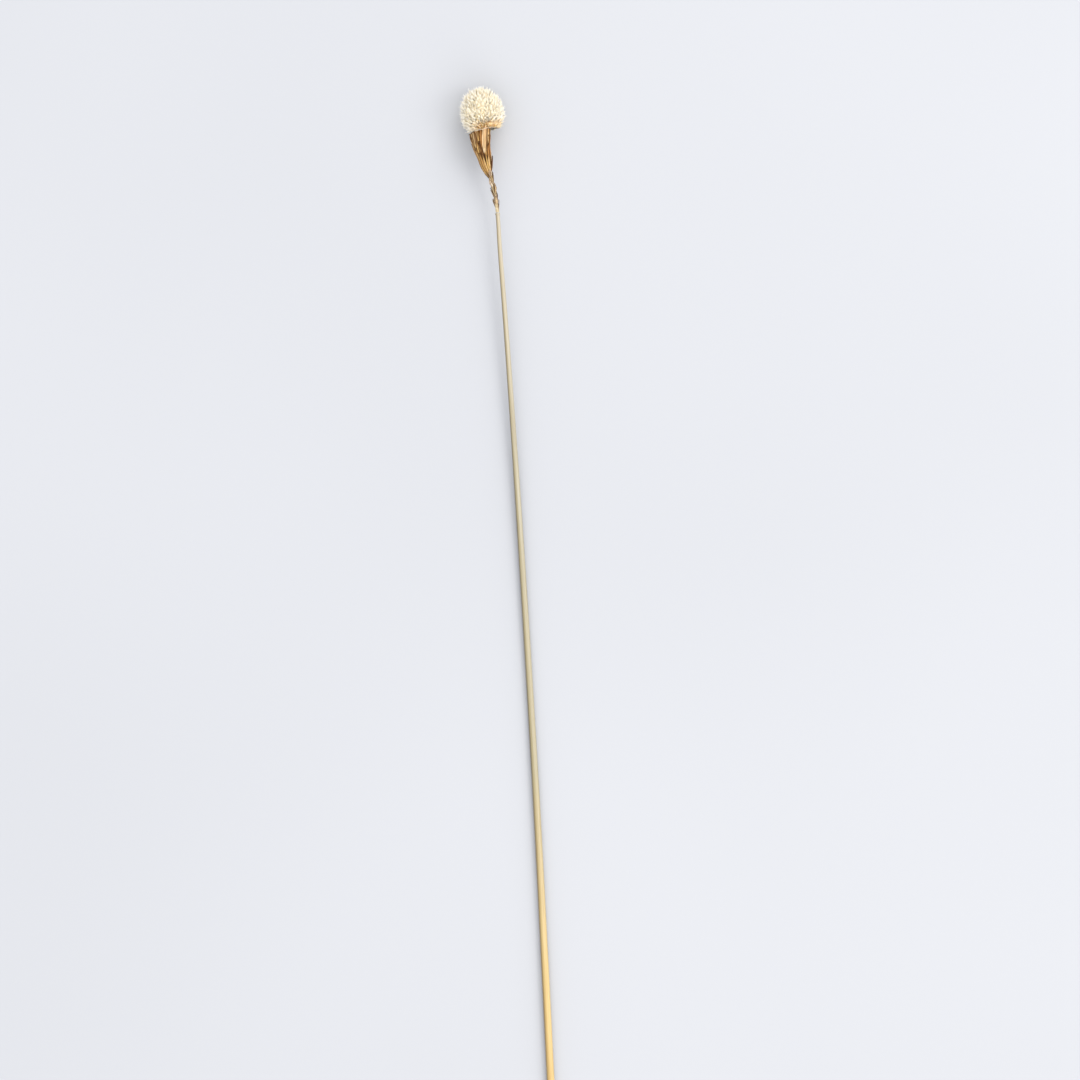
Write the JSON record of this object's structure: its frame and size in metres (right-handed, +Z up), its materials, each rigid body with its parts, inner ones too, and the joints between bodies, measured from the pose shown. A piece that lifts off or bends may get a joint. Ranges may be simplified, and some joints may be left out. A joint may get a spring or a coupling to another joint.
{
  "type": "dried craspedia flower stem",
  "caption": "Dried everlasting flower on a long cut stem: a round bristly cream head over a narrow cone of brown bracts, lying down on a flat surface.",
  "frame": {"origin": "middle of the flower's length and width, at the level of the surface that it lies on", "axes": "+Y along the stem from its cut end to the top of the head, +Z up from the surface, +X to the right when the head points away"},
  "size_m": [0.026, 0.5996, 0.0244],
  "materials": {
    "florets": "matte",
    "bracts": "matte",
    "stem": "matte"
  },
  "bodies": {
    "root": {"flower_head": "florets", "leafy_bracts": "bracts", "stem": "stem"}
  },
  "joints": []
}
